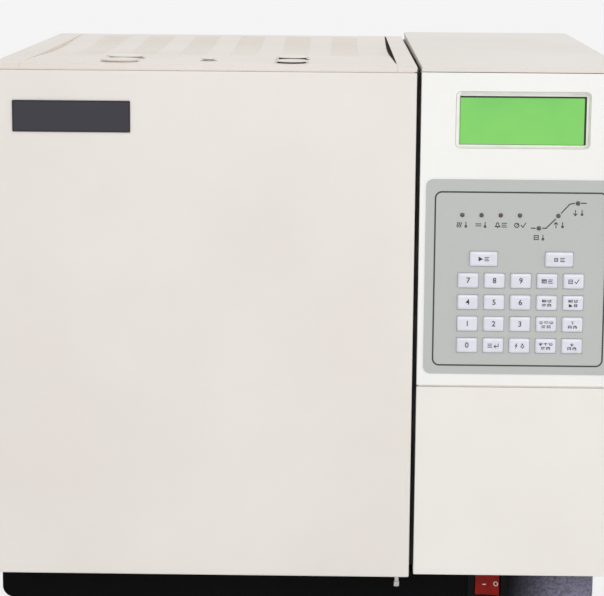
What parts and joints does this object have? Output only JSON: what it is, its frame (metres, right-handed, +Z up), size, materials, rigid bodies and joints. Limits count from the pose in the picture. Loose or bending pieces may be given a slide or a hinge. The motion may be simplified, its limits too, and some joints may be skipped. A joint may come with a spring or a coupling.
{
  "type": "gas chromatograph",
  "caption": "Bench gas chromatograph: a box with a hinged oven door at left, a keypad and display column at right, a hinged top lid and a black base tray.",
  "frame": {"origin": "on the floor, at the middle of the instrument's width and depth", "axes": "+X to the right, +Y to the rear, +Z up, seen from the front"},
  "size_m": [0.52, 0.503, 0.473],
  "materials": {
    "cream_paint": "powder coat, cream white",
    "panel_paint": "powder coat, off white",
    "black_paint": "powder coat, satin black",
    "rubber": "moulded",
    "zinc_sheet": "galvanised sheet",
    "stainless": "brushed stainless",
    "steel": "turned and plated",
    "insulation": "ceramic wool felt",
    "window": "tinted lit display",
    "board": "printed circuit board",
    "plate_grey": "satin screen print",
    "key_plastic": "moulded, glossy",
    "knob_plastic": "moulded",
    "gasket": "silicone cord",
    "name_plate": "anodised dark",
    "switch_black": "moulded",
    "switch_red": "moulded, translucent",
    "motor": "painted",
    "fan_metal": "stamped",
    "heater": "sheathed, heat tinted",
    "fused_silica": "polyimide coated tube on a cage",
    "brass": "turned",
    "gauge": "plated case"
  },
  "bodies": {
    "cabinet": {"base_tray": "black_paint", "rubber_feet": "rubber", "left_side_panel": "cream_paint", "right_side_panel": "cream_paint", "rear_panel": "zinc_sheet", "chassis_frame": "zinc_sheet", "oven_liner": "stainless", "oven_insulation": "insulation", "top_deck": "zinc_sheet", "top_frame": "cream_paint", "column_top_cover": "panel_paint", "control_panel": "panel_paint", "display_window": "window", "panel_boards": "board", "keypad_plate": "plate_grey", "gas_panel": "zinc_sheet", "pressure_gauges": "gauge", "hinge_pins": "steel", "switch_housing": "switch_black", "fan_motor": "motor", "heater_coil": "heater", "injectors": "steel", "detectors": "steel", "chromatography_column": "fused_silica", "rear_connectors": "brass", "circuit_boards": "board"},
    "oven_door": {"oven_door_skin": "cream_paint", "oven_door_plug": "stainless", "door_gasket": "gasket", "name_plate": "name_plate"},
    "latch": {"latch_pin": "steel"},
    "lid": {"top_lid": "cream_paint"},
    "gas_door_body": {"gas_door": "panel_paint"},
    "knob_left": {"flow_knob_left": "knob_plastic"},
    "knob_right": {"flow_knob_right": "knob_plastic"},
    "rocker": {"switch_rocker": "switch_red"},
    "fan": {"fan_impeller": "fan_metal"},
    "flap": {"exhaust_flap": "zinc_sheet"},
    "key_0_body": {"key_0": "key_plastic"},
    "key_enter_body": {"key_enter": "key_plastic"},
    "key_ignite_body": {"key_ignite": "key_plastic"},
    "key_bridge_current_body": {"key_bridge_current": "key_plastic"},
    "key_down_body": {"key_down": "key_plastic"},
    "key_1_body": {"key_1": "key_plastic"},
    "key_2_body": {"key_2": "key_plastic"},
    "key_3_body": {"key_3": "key_plastic"},
    "key_flame_range_body": {"key_flame_range": "key_plastic"},
    "key_up_body": {"key_up": "key_plastic"},
    "key_4_body": {"key_4": "key_plastic"},
    "key_5_body": {"key_5": "key_plastic"},
    "key_6_body": {"key_6": "key_plastic"},
    "key_detector_set_body": {"key_detector_set": "key_plastic"},
    "key_detector_on_body": {"key_detector_on": "key_plastic"},
    "key_7_body": {"key_7": "key_plastic"},
    "key_8_body": {"key_8": "key_plastic"},
    "key_9_body": {"key_9": "key_plastic"},
    "key_display_body": {"key_display": "key_plastic"},
    "key_set_body": {"key_set": "key_plastic"},
    "key_run_body": {"key_run": "key_plastic"},
    "key_stop_body": {"key_stop": "key_plastic"}
  },
  "joints": [
    {"name": "oven_door_hinge", "type": "hinge", "parent": "cabinet", "child": "oven_door", "pos_m": [-0.255, -0.2175, 0.25105], "axis": [0, 0, -1], "range_deg": [0, 100]},
    {"name": "latch_lift", "type": "slide", "parent": "oven_door", "child": "latch", "axis": [0, 0, 1], "range_m": [0, 0.004], "stiffness_N_per_m": 300},
    {"name": "lid_hinge", "type": "hinge", "parent": "cabinet", "child": "lid", "pos_m": [-0.0854, 0.1985, 0.463], "axis": [-1, 0, 0], "range_deg": [0, 80]},
    {"name": "gas_door_hinge", "type": "hinge", "parent": "cabinet", "child": "gas_door_body", "pos_m": [0.255, -0.2345, 0.1216], "axis": [0, 0, 1], "range_deg": [0, 100]},
    {"name": "flow_knob_left_turn", "type": "hinge", "parent": "cabinet", "child": "knob_left", "pos_m": [0.135, -0.1865, 0.092], "axis": [0, 1, 0], "range_deg": [0, 300]},
    {"name": "flow_knob_right_turn", "type": "hinge", "parent": "cabinet", "child": "knob_right", "pos_m": [0.218, -0.1865, 0.092], "axis": [0, 1, 0], "range_deg": [0, 300]},
    {"name": "rocker_tilt", "type": "hinge", "parent": "cabinet", "child": "rocker", "pos_m": [0.1575, -0.2295, 0.028], "axis": [0, 0, 1], "range_deg": [0, 16]},
    {"name": "fan_spin", "type": "hinge", "parent": "cabinet", "child": "fan", "pos_m": [-0.0854, -0.044, 0.2089], "axis": [0, 1, 0], "continuous": true},
    {"name": "flap_swing", "type": "hinge", "parent": "cabinet", "child": "flap", "pos_m": [-0.0854, 0.2365, 0.1389], "axis": [1, 0, 0], "range_deg": [0, 50]},
    {"name": "key_0_press", "type": "slide", "parent": "cabinet", "child": "key_0_body", "axis": [0, 1, 0], "range_m": [0, 0.0008], "stiffness_N_per_m": 400},
    {"name": "key_enter_press", "type": "slide", "parent": "cabinet", "child": "key_enter_body", "axis": [0, 1, 0], "range_m": [0, 0.0008], "stiffness_N_per_m": 400},
    {"name": "key_ignite_press", "type": "slide", "parent": "cabinet", "child": "key_ignite_body", "axis": [0, 1, 0], "range_m": [0, 0.0008], "stiffness_N_per_m": 400},
    {"name": "key_bridge_current_press", "type": "slide", "parent": "cabinet", "child": "key_bridge_current_body", "axis": [0, 1, 0], "range_m": [0, 0.0008], "stiffness_N_per_m": 400},
    {"name": "key_down_press", "type": "slide", "parent": "cabinet", "child": "key_down_body", "axis": [0, 1, 0], "range_m": [0, 0.0008], "stiffness_N_per_m": 400},
    {"name": "key_1_press", "type": "slide", "parent": "cabinet", "child": "key_1_body", "axis": [0, 1, 0], "range_m": [0, 0.0008], "stiffness_N_per_m": 400},
    {"name": "key_2_press", "type": "slide", "parent": "cabinet", "child": "key_2_body", "axis": [0, 1, 0], "range_m": [0, 0.0008], "stiffness_N_per_m": 400},
    {"name": "key_3_press", "type": "slide", "parent": "cabinet", "child": "key_3_body", "axis": [0, 1, 0], "range_m": [0, 0.0008], "stiffness_N_per_m": 400},
    {"name": "key_flame_range_press", "type": "slide", "parent": "cabinet", "child": "key_flame_range_body", "axis": [0, 1, 0], "range_m": [0, 0.0008], "stiffness_N_per_m": 400},
    {"name": "key_up_press", "type": "slide", "parent": "cabinet", "child": "key_up_body", "axis": [0, 1, 0], "range_m": [0, 0.0008], "stiffness_N_per_m": 400},
    {"name": "key_4_press", "type": "slide", "parent": "cabinet", "child": "key_4_body", "axis": [0, 1, 0], "range_m": [0, 0.0008], "stiffness_N_per_m": 400},
    {"name": "key_5_press", "type": "slide", "parent": "cabinet", "child": "key_5_body", "axis": [0, 1, 0], "range_m": [0, 0.0008], "stiffness_N_per_m": 400},
    {"name": "key_6_press", "type": "slide", "parent": "cabinet", "child": "key_6_body", "axis": [0, 1, 0], "range_m": [0, 0.0008], "stiffness_N_per_m": 400},
    {"name": "key_detector_set_press", "type": "slide", "parent": "cabinet", "child": "key_detector_set_body", "axis": [0, 1, 0], "range_m": [0, 0.0008], "stiffness_N_per_m": 400},
    {"name": "key_detector_on_press", "type": "slide", "parent": "cabinet", "child": "key_detector_on_body", "axis": [0, 1, 0], "range_m": [0, 0.0008], "stiffness_N_per_m": 400},
    {"name": "key_7_press", "type": "slide", "parent": "cabinet", "child": "key_7_body", "axis": [0, 1, 0], "range_m": [0, 0.0008], "stiffness_N_per_m": 400},
    {"name": "key_8_press", "type": "slide", "parent": "cabinet", "child": "key_8_body", "axis": [0, 1, 0], "range_m": [0, 0.0008], "stiffness_N_per_m": 400},
    {"name": "key_9_press", "type": "slide", "parent": "cabinet", "child": "key_9_body", "axis": [0, 1, 0], "range_m": [0, 0.0008], "stiffness_N_per_m": 400},
    {"name": "key_display_press", "type": "slide", "parent": "cabinet", "child": "key_display_body", "axis": [0, 1, 0], "range_m": [0, 0.0008], "stiffness_N_per_m": 400},
    {"name": "key_set_press", "type": "slide", "parent": "cabinet", "child": "key_set_body", "axis": [0, 1, 0], "range_m": [0, 0.0008], "stiffness_N_per_m": 400},
    {"name": "key_run_press", "type": "slide", "parent": "cabinet", "child": "key_run_body", "axis": [0, 1, 0], "range_m": [0, 0.0008], "stiffness_N_per_m": 400},
    {"name": "key_stop_press", "type": "slide", "parent": "cabinet", "child": "key_stop_body", "axis": [0, 1, 0], "range_m": [0, 0.0008], "stiffness_N_per_m": 400}
  ]
}
